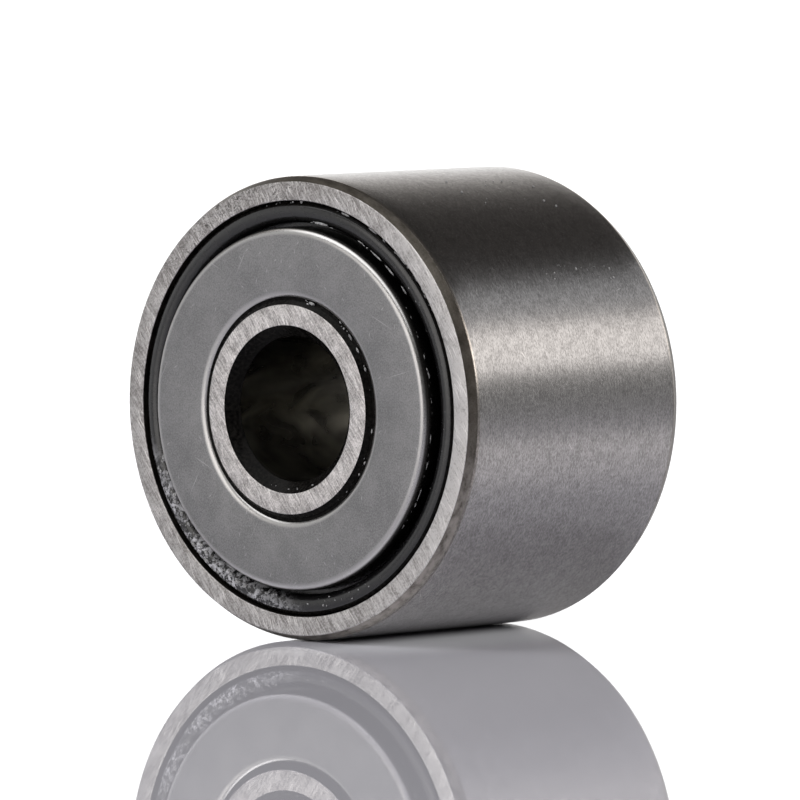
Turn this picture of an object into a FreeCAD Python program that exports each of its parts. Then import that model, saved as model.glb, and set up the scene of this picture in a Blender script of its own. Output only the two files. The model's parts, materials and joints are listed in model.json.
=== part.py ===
"""Yoke-type cam follower (track roller) with a caged needle bearing, built as separate pieces.

A thick outer ring rolls on needle rollers around an inner ring. A steel side washer is pressed onto each end of
the inner ring and keeps the outer ring in place. A polyamide sliding ring sits in a recess in each end of the
outer ring: its flange runs against the side washer and its lip closes the gap around the washer's rim.

Frame: millimetres. The origin is the roller's centre, the axis of rotation is Y and +Z is up. The front end is at
-Y. Ring sections are drawn in the X-Y plane, where X is the radius, and turned about Y.
"""

import FreeCAD, Part
import math
import os

Vec = FreeCAD.Vector
ORIGIN = Vec(0, 0, 0)
AXIS = Vec(0, 1, 0)
FULL_TURN = 360.0
ENDS = {"front": -1, "back": 1}

# Driving dimensions
bore_diameter = 5.0
tread_diameter = 16.0
inner_ring_width = 12.0
outer_ring_width = 11.0
washer_diameter = 12.5

# Needle bearing
inner_race_radius = 3.75
needle_radius = 0.75
needle_length = 7.8
needle_end_round = 0.2
needle_count = 13
race_clearance = 0.005
pitch_radius = inner_race_radius + race_clearance + needle_radius
outer_race_radius = pitch_radius + needle_radius + race_clearance

# Cage
cage_half_thickness = 0.52
cage_end_gap = 0.15
cage_edge_round = 0.12
pocket_clearance = 0.03
pocket_end_clearance = 0.05

# Inner ring
bore_chamfer = 0.4
inner_ring_outer_chamfer = 0.16
oil_hole_radius = 0.5

# Outer ring
recess_radius = 7.15
recess_depth = 1.05
recess_corner_round = 0.1
face_edge_radial = 0.2
face_edge_axial = 0.36
race_lead_in = 0.12
tread_flat_half_width = 4.2
tread_end_drop = 0.012

# Side washers
washer_thickness = 1.0
washer_set_back = 0.1
washer_rim_roll = 0.28
washer_bore_roll = 0.36
washer_inner_edge_round = 0.05

# Sliding rings
running_gap = 0.05
flange_inner_radius = outer_race_radius + 0.14
lip_inner_radius = 6.38
lip_below_face = 0.02
lip_crest_round = 0.36
grease_groove_count = 8
grease_groove_width = 0.7
grease_groove_depth = 0.15
grease_groove_end = 6.15

# Places worked out from the sizes above
bore_radius = bore_diameter / 2
tread_radius = tread_diameter / 2
washer_radius = washer_diameter / 2
inner_ring_end = inner_ring_width / 2
outer_ring_end = outer_ring_width / 2
recess_floor = outer_ring_end - recess_depth
washer_outer_face = inner_ring_end - washer_set_back
washer_inner_face = washer_outer_face - washer_thickness
flange_face = washer_inner_face - running_gap
cage_half_length = washer_inner_face - cage_end_gap


def rounded_wire(corners):
    """A closed wire through corners of (radius, y, round). A round of 0 leaves the corner sharp."""
    edges = []
    starts, ends = [], []
    count = len(corners)
    for i, (r, y, size) in enumerate(corners):
        corner = Vec(r, y, 0)
        before = Vec(corners[i - 1][0], corners[i - 1][1], 0) - corner
        after = Vec(corners[(i + 1) % count][0], corners[(i + 1) % count][1], 0) - corner
        before.normalize()
        after.normalize()
        half_angle = before.getAngle(after) / 2
        cut = size / math.tan(half_angle)
        starts.append(corner + before * cut)
        ends.append(corner + after * cut)
        if size:
            middle_way = before + after
            middle_way.normalize()
            middle = corner + middle_way * (size / math.sin(half_angle) - size)
            edges.append(Part.Arc(starts[i], middle, ends[i]).toShape())
    for i in range(count):
        start, end = ends[i], starts[(i + 1) % count]
        if start.distanceToPoint(end) > 1e-6:
            edges.append(Part.LineSegment(start, end).toShape())
    return Part.Wire(Part.__sortEdges__(edges))


def turned(corners):
    """The solid that a section makes when it is turned about the axis."""
    solid = Part.Face(rounded_wire(corners)).revolve(ORIGIN, AXIS, FULL_TURN)
    return solid if solid.Volume > 0 else solid.reversed()


def turn_about_axis(shape, number, count):
    """A copy of shape at its place in a ring of count places."""
    copy = shape.copy()
    copy.rotate(ORIGIN, AXIS, FULL_TURN * number / count)
    return copy


def inner_ring():
    """The bored ring that the yoke's pin holds, with a radial oil hole half way along."""
    chamfer, edge, end = bore_chamfer, inner_ring_outer_chamfer, inner_ring_end
    ring = turned([
        (bore_radius, -end + chamfer, 0),
        (bore_radius + chamfer, -end, 0),
        (inner_race_radius - edge, -end, 0),
        (inner_race_radius, -end + edge, 0),
        (inner_race_radius, end - edge, 0),
        (inner_race_radius - edge, end, 0),
        (bore_radius + chamfer, end, 0),
        (bore_radius, end - chamfer, 0),
    ])
    oil_hole = Part.makeCylinder(oil_hole_radius, inner_race_radius + 1, ORIGIN, Vec(0, 0, 1))
    return ring.cut(oil_hole)


def outer_ring():
    """The thick rolling ring: raceway inside, a recess in each end, and a tread eased off towards its ends."""
    end, floor = outer_ring_end, recess_floor
    tread_end = end - face_edge_axial
    corner = recess_corner_round
    half = [
        (outer_race_radius, floor - race_lead_in, 0),
        (outer_race_radius + race_lead_in, floor, 0),
        (recess_radius, floor, corner),
        (recess_radius, end, 0),
        (tread_radius - face_edge_radial, end, 0),
        (tread_radius - tread_end_drop, tread_end, 0),
        (tread_radius, tread_flat_half_width, 0),
    ]
    other_half = [(r, -y, size) for r, y, size in reversed(half)]
    return turned(half + other_half)


def side_washer(side):
    """The stamped steel washer pressed onto one end of the inner ring, with rolled outer edges."""
    inner, outer = side * washer_inner_face, side * washer_outer_face
    return turned([
        (inner_race_radius, inner, washer_inner_edge_round),
        (washer_radius, inner, washer_inner_edge_round),
        (washer_radius, outer, washer_rim_roll),
        (inner_race_radius, outer, washer_bore_roll),
    ])


def sliding_ring(side):
    """The polyamide ring in one recess: a grooved flange that takes the thrust and a rounded sealing lip."""
    lip_top = outer_ring_end - lip_below_face
    ring = turned([
        (flange_inner_radius, side * recess_floor, 0),
        (recess_radius - recess_corner_round, side * recess_floor, 0),
        (recess_radius, side * (recess_floor + recess_corner_round), 0),
        (recess_radius, side * lip_top, lip_crest_round),
        (lip_inner_radius, side * lip_top, lip_crest_round),
        (lip_inner_radius, side * flange_face, 0),
        (flange_inner_radius, side * flange_face, 0),
    ])
    groove_start = flange_inner_radius - grease_groove_width
    groove = Part.makeBox(grease_groove_end - groove_start, 2 * grease_groove_depth, grease_groove_width)
    groove.translate(Vec(groove_start, side * flange_face - grease_groove_depth, -grease_groove_width / 2))
    grooves = [turn_about_axis(groove, n, grease_groove_count) for n in range(grease_groove_count)]
    return ring.cut(Part.makeCompound(grooves))


def needle():
    """One needle roller at the first place on the pitch circle."""
    end, size = needle_length / 2, needle_end_round
    roller = turned([
        (0, -end, 0),
        (needle_radius, -end, size),
        (needle_radius, end, size),
        (0, end, 0),
    ])
    roller.translate(Vec(pitch_radius, 0, 0))
    return roller


def needle_cage():
    """The window cage that spaces the needles: one round pocket for each, open inwards and outwards."""
    inner, outer = pitch_radius - cage_half_thickness, pitch_radius + cage_half_thickness
    end, size = cage_half_length, cage_edge_round
    ring = turned([(inner, -end, size), (outer, -end, size), (outer, end, size), (inner, end, size)])
    half_pocket = needle_length / 2 + pocket_end_clearance
    pocket = Part.makeCylinder(
        needle_radius + pocket_clearance, 2 * half_pocket, Vec(pitch_radius, -half_pocket, 0), AXIS
    )
    pockets = [turn_about_axis(pocket, n, needle_count) for n in range(needle_count)]
    return ring.cut(Part.makeCompound(pockets))


def all_pieces():
    """Every piece of the cam follower by its node's name."""
    pieces = {
        "outer_ring": outer_ring(),
        "inner_ring": inner_ring(),
        "needle_cage": needle_cage(),
    }
    for end, side in ENDS.items():
        pieces[f"side_washer_{end}"] = side_washer(side)
        pieces[f"sliding_ring_{end}"] = sliding_ring(side)
    for n in range(needle_count):
        pieces[f"needle_{n + 1:02d}"] = turn_about_axis(needle(), n, needle_count)
    return pieces


os.makedirs("parts", exist_ok=True)
for name, shape in all_pieces().items():
    solid = shape.Solids[0]
    solid.exportStep(f"parts/{name}.step")
    print(f"{name}: {len(shape.Solids)} solid, valid {solid.isValid()}, {solid.Volume:.2f} mm3")
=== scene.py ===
# %% [markdown]
# # A cam follower, dressed for a product picture
#
# A cam follower is a small, very hard roller. This one has a thick steel outer ring that rolls along a
# cam, a bored inner ring that a pin holds, and needle rollers between the two. A washer pressed on each
# end and a black plastic ring keep the grease in. The CAD model holds every size and every joint. The
# cells below build finer meshes of the same pieces around it, and give each surface the finish that the
# last machine left on it.

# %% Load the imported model
import json
import math

import bmesh
import bpy
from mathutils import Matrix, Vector


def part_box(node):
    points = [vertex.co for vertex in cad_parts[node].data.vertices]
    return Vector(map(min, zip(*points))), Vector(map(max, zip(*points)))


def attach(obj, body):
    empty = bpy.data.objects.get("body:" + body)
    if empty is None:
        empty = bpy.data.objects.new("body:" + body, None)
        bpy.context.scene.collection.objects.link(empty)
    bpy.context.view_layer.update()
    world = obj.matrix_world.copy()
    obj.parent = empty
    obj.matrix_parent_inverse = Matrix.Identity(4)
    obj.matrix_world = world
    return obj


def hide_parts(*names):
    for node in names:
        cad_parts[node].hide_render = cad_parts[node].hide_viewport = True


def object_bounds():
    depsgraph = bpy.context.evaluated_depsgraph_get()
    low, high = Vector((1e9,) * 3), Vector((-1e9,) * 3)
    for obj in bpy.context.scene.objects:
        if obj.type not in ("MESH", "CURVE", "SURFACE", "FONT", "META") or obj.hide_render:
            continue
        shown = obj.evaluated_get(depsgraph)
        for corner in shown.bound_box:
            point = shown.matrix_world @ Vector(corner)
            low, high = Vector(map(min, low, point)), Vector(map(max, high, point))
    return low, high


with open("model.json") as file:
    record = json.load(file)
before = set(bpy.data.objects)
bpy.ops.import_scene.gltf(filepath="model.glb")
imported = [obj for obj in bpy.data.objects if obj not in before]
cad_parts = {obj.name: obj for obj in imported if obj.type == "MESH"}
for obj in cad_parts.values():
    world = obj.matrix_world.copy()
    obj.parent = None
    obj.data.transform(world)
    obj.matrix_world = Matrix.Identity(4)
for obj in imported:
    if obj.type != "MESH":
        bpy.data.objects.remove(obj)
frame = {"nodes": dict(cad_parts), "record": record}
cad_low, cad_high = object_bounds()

# %% [markdown]
# ## Sizes
#
# Blender works in metres and a bearing is drawn in millimetres, so the sizes are kept in millimetres and
# turned into metres once, when a mesh is made. The main ones are read off the CAD nodes' boxes. Rounding
# to a hundredth takes away the small error of a faceted mesh, which never quite reaches its true radius.

# %% Read the sizes
MM = 0.001


def in_mm(length):
    return round(length / MM, 2)


def turned_size(node):
    """The outer radius of a turned node and its two ends along the axis, in millimetres."""
    low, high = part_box(node)
    return in_mm(max(high.x, high.z)), in_mm(low.y), in_mm(high.y)


tread_radius, _, outer_end = turned_size("outer_ring")
race_radius, _, inner_end = turned_size("inner_ring")
washer_radius, washer_inner_face, washer_outer_face = turned_size("side_washer_back")
recess_radius, recess_floor, lip_top = turned_size("sliding_ring_back")
_, _, cage_end = turned_size("needle_cage")
_, needle_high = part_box("needle_01")
needle_radius = in_mm(needle_high.z)
needle_end = in_mm(needle_high.y)
RACE_CLEARANCE = 0.005
pitch_radius = race_radius + RACE_CLEARANCE + needle_radius
outer_race_radius = pitch_radius + needle_radius + RACE_CLEARANCE
bore_radius = frame["record"]["mounts"][0]["dims"]["r_mm"]
print("tread", tread_radius, "washer", washer_radius, "recess", recess_radius)
print("race", race_radius, "bore", bore_radius)
print("ends", outer_end, inner_end, washer_inner_face, washer_outer_face, recess_floor, lip_top, cage_end)
print("needle", needle_radius, needle_end, "on pitch radius", pitch_radius)

# %% [markdown]
# ## The camera
#
# A small part is best seen from some way off through a long lens, which keeps its circles nearly free of
# perspective. The camera looks at the front end from the right and a little above. It is aimed a few
# millimetres to the side of the front face's centre, so that the whole roller sits in the middle of the
# picture.

# %% Place the camera
CAMERA_AZIMUTH = math.radians(41.36)
CAMERA_ELEVATION = math.radians(3.59)
CAMERA_DISTANCE = 376.5 * MM
LENS = 494
SENSOR = 36
AIM_RIGHT = 3.553 * MM
AIM_UP = 0.303 * MM
CLIP_NEAR, CLIP_FAR = 10 * MM, 5


def direction(azimuth, elevation):
    """From the roller towards a place: azimuth 0 is straight in front, and it grows towards +X."""
    level = math.cos(elevation)
    return Vector((math.sin(azimuth) * level, -math.cos(azimuth) * level, math.sin(elevation)))


back = direction(CAMERA_AZIMUTH, CAMERA_ELEVATION)
right = Vector((math.cos(CAMERA_AZIMUTH), math.sin(CAMERA_AZIMUTH), 0))
up = back.cross(right)
front_centre = Vector((0, -outer_end * MM, 0))
camera = bpy.data.objects.new("camera", bpy.data.cameras.new("camera"))
bpy.context.scene.collection.objects.link(camera)
camera.location = front_centre + back * CAMERA_DISTANCE + right * AIM_RIGHT + up * AIM_UP
camera.rotation_mode = "QUATERNION"
camera.rotation_quaternion = (-back).to_track_quat("-Z", "Y")
camera.data.lens = LENS
camera.data.sensor_width = SENSOR
camera.data.clip_start = CLIP_NEAR
camera.data.clip_end = CLIP_FAR
bpy.context.scene.camera = camera
print("camera", [round(c, 4) for c in camera.location])

# %% [markdown]
# ## Node helpers
#
# Materials, the world and the geometry trees are all built from nodes. One helper adds a node, sets its
# options and fills its inputs: another node's output is linked, and any other value is typed in. Small
# wrappers on top of it read like the sum or the texture that they stand for.


# %% Helpers for node trees
def node(tree, kind, inputs=None, **options):
    made = tree.nodes.new(kind)
    for option, value in options.items():
        setattr(made, option, value)
    for name, value in (inputs or {}).items():
        if isinstance(value, bpy.types.NodeSocket):
            tree.links.new(value, made.inputs[name])
        else:
            made.inputs[name].default_value = value
    return made


def calculate(tree, operation, *values):
    made = node(tree, "ShaderNodeMath", dict(enumerate(values)), operation=operation)
    return made.outputs[0]


def times(tree, first, second):
    return calculate(tree, "MULTIPLY", first, second)


def ramp(tree, value, start, end, low=0.0, high=1.0, smooth=False):
    """low where value is under start and high where it is over end, with an even change between."""
    shape = "SMOOTHSTEP" if smooth else "LINEAR"
    inputs = {"Value": value, "From Min": start, "From Max": end, "To Min": low, "To Max": high}
    return node(tree, "ShaderNodeMapRange", inputs, interpolation_type=shape).outputs["Result"]


def towards(tree, place, way):
    """How far a place or a direction lies towards way."""
    return node(tree, "ShaderNodeVectorMath", {0: place, 1: way}, operation="DOT_PRODUCT").outputs["Value"]


def split(tree, place):
    """The X, Y and Z outputs of a place."""
    return node(tree, "ShaderNodeSeparateXYZ", {0: place}).outputs


def xyz(tree, **values):
    return node(tree, "ShaderNodeCombineXYZ", values).outputs[0]


def around_axis(tree, radius, y, angle):
    """The place at this radius, at y along the axis and at this angle about it."""
    return xyz(tree, X=times(tree, radius, calculate(tree, "COSINE", angle)), Y=y,
               Z=times(tree, radius, calculate(tree, "SINE", angle)))


# A Mix node has its own inputs and output for each kind of value. These are the ones for colours.
MIX_COLORS = (6, 7)
MIXED_COLOR = 2


def blend_colors(tree, factor, *colors):
    """A mix of two colours. Each is three values or another node's output."""
    ends = [color if isinstance(color, bpy.types.NodeSocket) else (*color, 1) for color in colors]
    made = node(tree, "ShaderNodeMix", {0: factor, **dict(zip(MIX_COLORS, ends))}, data_type="RGBA")
    return made.outputs[MIXED_COLOR]


# %% [markdown]
# ## Studio
#
# Polished metal shows its surroundings more than itself, so the studio is planned as what the steel will
# mirror. Straight behind the roller stands a white backdrop, which the glossy floor and the top of the
# tread pick up. The ceiling is dark and faintly warm, and gives the tread its dark upper band. Where a
# real studio has walls, the world's colour is worked out from the direction alone: a little light near
# the horizon, less above, and less again on the camera's own side, where nothing is lit. Only the camera
# itself sees plain white.

# %% Surroundings
WALL = 0.3
CEILING = 0.04
WALL_FADE_START, WALL_FADE_END = 0.1, 0.6
DARK_SIDE = 0.25
DARK_SIDE_START, DARK_SIDE_END = 0.6, 0.95
WHITE = (1.0, 1.0, 1.0)
WARM_CEILING = (1.0, 0.93, 0.87)
BACKDROP = 1.3
BACKDROP_EDGE, BACKDROP_CORE = 0.45, 1.0
BACKDROP_FADE_START, BACKDROP_FADE_END = 0.0, 0.66

world = bpy.data.worlds.new("studio")
world.use_nodes = True
bpy.context.scene.world = world
tree = world.node_tree
tree.nodes.clear()
looking = node(tree, "ShaderNodeTexCoord").outputs["Generated"]
height = split(tree, looking)["Z"]
walls = ramp(tree, height, WALL_FADE_START, WALL_FADE_END, WALL, CEILING, smooth=True)
towards_camera = towards(tree, looking, direction(CAMERA_AZIMUTH, 0))
unlit = ramp(tree, towards_camera, DARK_SIDE_START, DARK_SIDE_END, 1.0, DARK_SIDE, smooth=True)
walls = times(tree, walls, unlit)
behind = towards(tree, looking, direction(CAMERA_AZIMUTH + math.pi, 0))
backdrop = times(tree, ramp(tree, behind, BACKDROP_EDGE, BACKDROP_CORE, smooth=True),
                 ramp(tree, height, BACKDROP_FADE_START, BACKDROP_FADE_END, BACKDROP, 0.0, smooth=True))
brightness = calculate(tree, "ADD", walls, backdrop)
tint = blend_colors(tree, ramp(tree, height, WALL_FADE_START, WALL_FADE_END), WHITE, WARM_CEILING)
in_metal = node(tree, "ShaderNodeBackground", {"Color": tint, "Strength": brightness}).outputs[0]
directly = node(tree, "ShaderNodeBackground", {"Color": (*WHITE, 1), "Strength": 1.0}).outputs[0]
is_camera = node(tree, "ShaderNodeLightPath").outputs["Is Camera Ray"]
either = node(tree, "ShaderNodeMixShader", {0: is_camera, 1: in_metal, 2: directly}).outputs[0]
node(tree, "ShaderNodeOutputWorld", {"Surface": either})
bpy.context.scene.view_settings.view_transform = "Standard"
print("world nodes:", len(tree.nodes))

# %% [markdown]
# ## Soft boxes
#
# An area light is a soft box: the larger it is, the softer its shadow and the wider its reflection. What
# counts on steel is how bright the box itself looks, and Blender asks for its power, so the helper turns
# one into the other. A warm box behind and to the right draws the bright band along the tread, with a
# dimmer, cooler one above it. The key box beside the camera lights the rolled edges, and the one overhead
# lights the floor and the faces. Three weak ones are there for a single edge each: the left side, the
# chamfer at the top, and the corner of the tread.

# %% Soft boxes
LIGHT_DISTANCE = 600 * MM


def soft_box(name, azimuth, elevation, width, height, brightness, tint=(1, 1, 1)):
    """An area light that faces the roller. width and height are the angles it fills, in degrees."""
    way = direction(math.radians(azimuth), math.radians(elevation))
    light = bpy.data.lights.new(name, "AREA")
    light.shape = "RECTANGLE"
    light.size = 2 * LIGHT_DISTANCE * math.tan(math.radians(width / 2))
    light.size_y = 2 * LIGHT_DISTANCE * math.tan(math.radians(height / 2))
    light.energy = brightness * math.pi * light.size * light.size_y
    light.color = tint
    box = bpy.data.objects.new(name, light)
    box.location = way * LIGHT_DISTANCE
    box.rotation_mode = "QUATERNION"
    box.rotation_quaternion = way.to_track_quat("Z", "Y")
    box.visible_camera = False
    bpy.context.scene.collection.objects.link(box)
    print(name, "size", round(light.size, 3), round(light.size_y, 3), "power", round(light.energy, 3))


soft_box("tread_box", 134, 18, 60, 15, 1.55, tint=(1.0, 0.96, 0.93))
soft_box("tread_upper_box", 146, 31, 50, 10, 0.5, tint=(0.94, 0.96, 1.0))
soft_box("key_box", -9, 15, 46, 34, 1.8, tint=(1.0, 0.97, 0.94))
soft_box("overhead_box", 0, 66, 80, 36, 2.35)
soft_box("left_box", -60, 16, 40, 36, 0.6)
soft_box("chamfer_box", -92, 50, 30, 24, 0.4, tint=(1.0, 0.95, 0.88))
soft_box("edge_box", 112, 24, 20, 24, 1.2, tint=(1.0, 0.92, 0.84))

# %% [markdown]
# ## Floor
#
# The roller lies on polished white acrylic. It is a plain sheet with a smooth clear surface: at a low
# angle such a surface mirrors about two thirds of the light, which gives the pale mirror image under the
# roller with no more than the right refractive index. Acrylic also lets light travel a few millimetres
# inside it, which comes out again under a part this small. A faint glow beside the line of contact stands
# for that, and keeps the underside of the tread grey rather than black.


# %% Floor
def new_material(name, color, roughness, metallic=0.0, **settings):
    """A material with one Principled shader. Returns the material, its tree and the shader."""
    material = bpy.data.materials.new(name)
    material.use_nodes = True
    shader = material.node_tree.nodes["Principled BSDF"]
    values = {"Base Color": (*color, 1), "Roughness": roughness, "Metallic": metallic, **settings}
    for socket, value in values.items():
        shader.inputs[socket].default_value = value
    return material, material.node_tree, shader


def millimetres(tree):
    place = node(tree, "ShaderNodeTexCoord").outputs["Object"]
    return node(tree, "ShaderNodeVectorMath", {0: place, "Scale": 1 / MM}, operation="SCALE").outputs[0]


FLOOR_HALF = 2.0
TABLE_GLOW = 0.16
GLOW_START, GLOW_END = 1.1, 3.4
GLOW_FADE_START, GLOW_FADE_END = 3.4, 8.0
GLOW_LENGTH_START, GLOW_LENGTH_END = 0.8 * outer_end, 2 * outer_end
acrylic, tree, shader = new_material("white_acrylic", (0.79, 0.785, 0.86), 0.0, **{
    "IOR": 1.5, "Emission Color": (0.97, 0.98, 1, 1)})
place = split(tree, millimetres(tree))
sideways, lengthways = [calculate(tree, "ABSOLUTE", place[axis]) for axis in "XY"]
glow = ramp(tree, sideways, GLOW_START, GLOW_END, smooth=True)
glow = times(tree, glow, ramp(tree, sideways, GLOW_FADE_START, GLOW_FADE_END, 1, 0, smooth=True))
glow = times(tree, glow, ramp(tree, lengthways, GLOW_LENGTH_START, GLOW_LENGTH_END, 1, 0, smooth=True))
glow = times(tree, glow, TABLE_GLOW)
tree.links.new(glow, shader.inputs["Emission Strength"])
floor_mesh = bpy.data.meshes.new("floor")
corners = [(x * FLOOR_HALF, y * FLOOR_HALF, cad_low.z) for x, y in ((-1, -1), (1, -1), (1, 1), (-1, 1))]
floor_mesh.from_pydata(corners, [], [(0, 1, 2, 3)])
floor_mesh.materials.append(acrylic)
floor = bpy.data.objects.new("floor", floor_mesh)
bpy.context.scene.collection.objects.link(floor)
print("floor at", round(cad_low.z, 5))

# %% [markdown]
# ## What a finish is made of
#
# Each finish is a Principled shader with patterns that read Object coordinates, scaled to millimetres. A
# pattern is noise that has been stretched: short across a grinding line and long along it. The Mapping
# node in Texture mode takes the size of one feature along each direction, so every number below is a
# width that could be measured on the part with a magnifier. The same noise moves the colour, the
# roughness and a very shallow bump together, because on steel all three have one cause.


# %% Helpers for finishes
def grain(tree, size, turn=0.0, shift=(0, 0, 0), detail=2.0, roughness=0.5, distortion=0.0):
    """Noise with features of this size in millimetres along x, y and z, turned about the axis by degrees."""
    inputs = {"Vector": millimetres(tree), "Location": shift, "Rotation": (0, math.radians(turn), 0),
              "Scale": size}
    placed = node(tree, "ShaderNodeMapping", inputs, vector_type="TEXTURE").outputs[0]
    noise = {"Vector": placed, "Scale": 1.0, "Detail": detail, "Roughness": roughness,
             "Distortion": distortion}
    return node(tree, "ShaderNodeTexNoise", noise).outputs[0]


def weigh(tree, *pairs):
    """The sum of each value times its weight."""
    total = 0.0
    for value, weight in pairs:
        total = calculate(tree, "MULTIPLY_ADD", value, weight, total)
    return total


def finish_with(tree, shader, color=None, roughness=None, height=None, depth=0.0):
    """Link patterns to the shader. depth is the height of the bump in millimetres."""
    if color:
        tree.links.new(color, shader.inputs["Base Color"])
    if roughness:
        tree.links.new(roughness, shader.inputs["Roughness"])
    if height:
        bump = node(tree, "ShaderNodeBump", {"Height": height, "Distance": depth * MM, "Strength": 1.0})
        tree.links.new(bump.outputs[0], shader.inputs["Normal"])


# %% [markdown]
# ### Marks from handling
#
# A scratch is thin, straight and shows up now and then. Noise can't make one, because its bands always
# curve. A Voronoi texture can: each of its cells has one point, and close to that point, in a space that
# is drawn out many times longer than wide, lies a thin straight ellipse. The cell's random colour decides
# whether it gets one.


# %% Scratches
CELL_LENGTHS, CELL_WIDTHS = 2, 4
MARK_CORE, MARK_EDGE = 0.08, 0.25
FAMILY_SHIFT = (3.7, 1.9, 0)


def flat_place(tree, turned=False):
    """Millimetres on the surface: x and z of an end face, or the way around and along the tread if turned."""
    place = split(tree, millimetres(tree))
    if not turned:
        return xyz(tree, X=place["X"], Y=place["Z"])
    around = times(tree, calculate(tree, "ARCTAN2", place["Z"], place["X"]), tread_radius)
    return xyz(tree, X=around, Y=place["Y"])


def scratches(tree, flat, length, width, share, turns):
    """0 to 1 on thin straight marks. Each turn in degrees is a family, and share of its cells have a mark."""
    cell_size = (CELL_LENGTHS * length, CELL_WIDTHS * width, 1)
    marks = 0.0
    for number, turn in enumerate(turns):
        inputs = {"Vector": flat, "Location": [number * shift for shift in FAMILY_SHIFT],
                  "Rotation": (0, 0, math.radians(turn)), "Scale": cell_size}
        placed = node(tree, "ShaderNodeMapping", inputs, vector_type="TEXTURE").outputs[0]
        texture = {"Vector": placed, "Scale": 1.0}
        cell = node(tree, "ShaderNodeTexVoronoi", texture, voronoi_dimensions="2D").outputs
        near = ramp(tree, cell["Distance"], MARK_CORE, MARK_EDGE, 1.0, 0.0)
        luck = node(tree, "ShaderNodeSeparateColor", {0: cell["Color"]}).outputs[0]
        mark = times(tree, near, ramp(tree, luck, 1 - share, 1 - share / 2))
        marks = calculate(tree, "MAXIMUM", marks, mark)
    return marks


# %% [markdown]
# ### Ground tread
#
# The tread is ground on a centreless grinder. The wheel leaves fine lines around the roller, a few
# hundredths of a millimetre wide and a third of a millimetre long. Noise that is narrow along the axis
# and long around it gives them without a seam, because x and z are stretched alike. Oil clouds the
# surface a little, and a few light scratches are left from handling. Along the corner beside each chamfer
# runs a painted highlight, bright on the upper side, and darker on the lower side: painted shade.


# %% Ground tread
CHAMFER_RADIAL, CHAMFER_AXIAL = 0.2, 0.36
CORNER_HIGHLIGHT_START, CORNER_HIGHLIGHT_END = 0.08, 0.03
HIGHLIGHT_RISES_FROM, HIGHLIGHT_RISES_TO = -1.0, 3.0


def ground_tread():
    material, tree, shader = new_material("ground_tread", (0.4, 0.395, 0.39), 0.25, 1.0)
    fine = grain(tree, (0.1, 0.036, 0.1), roughness=0.6)
    broad = grain(tree, (0.4, 0.06, 0.4))
    clouds = grain(tree, (0.4, 0.4, 0.4), detail=4.0, roughness=0.65)
    marks = scratches(tree, flat_place(tree, turned=True), 0.4, 0.02, 0.004, (25, 70, 140))
    lines = weigh(tree, (fine, 0.6), (broad, 0.18), (clouds, 0.22))
    color = blend_colors(tree, ramp(tree, lines, 0.41, 0.59), (0.27, 0.262, 0.256), (0.52, 0.506, 0.498))
    color = blend_colors(tree, marks, color, (0.7, 0.68, 0.66))
    place = split(tree, millimetres(tree))
    from_middle = calculate(tree, "ABSOLUTE", place["Y"])
    tread_end = outer_end - CHAMFER_AXIAL
    # Painted highlight along the corner by the chamfer, brighter the higher it sits, and darker low down:
    # painted shade.
    corner = ramp(tree, from_middle, tread_end - CORNER_HIGHLIGHT_START, tread_end - CORNER_HIGHLIGHT_END, smooth=True)
    upper = ramp(tree, place["Z"], HIGHLIGHT_RISES_FROM, HIGHLIGHT_RISES_TO, smooth=True)
    painted_highlight = weigh(tree, (upper, 0.6), (ramp(tree, lines, 0.4, 0.6), 0.4))
    highlight_color = blend_colors(tree, painted_highlight, (0.16, 0.15, 0.14), (0.72, 0.67, 0.62))
    color = blend_colors(tree, corner, color, highlight_color)
    roughness = ramp(tree, clouds, 0.3, 0.7, 0.25, 0.235)
    finish_with(tree, shader, color, roughness, weigh(tree, (fine, 1.0), (marks, 0.5)), 0.0003)
    return material


# %% [markdown]
# ### Ground end faces
#
# The end faces are ground flat, a stack at a time, between two large wheels. Their lines cross each
# narrow ring at a slant, all nearly parallel, over a fine pitted grain. Uneven pressure leaves lighter
# and darker patches and a few deeper lines. Each face also gets a little painted light towards its +X
# side, which shows most on the outer ring's face. Near the top of that face a film of oil has dried in
# dark creases.


# %% Ground end faces
CREASED_WAY = (-0.45, 0.0, 0.89)
CREASED_FROM, CREASED_TO = 6.0, 6.8
LIGHTER_FROM, LIGHTER_TO = 3.0, 7.5


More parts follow.
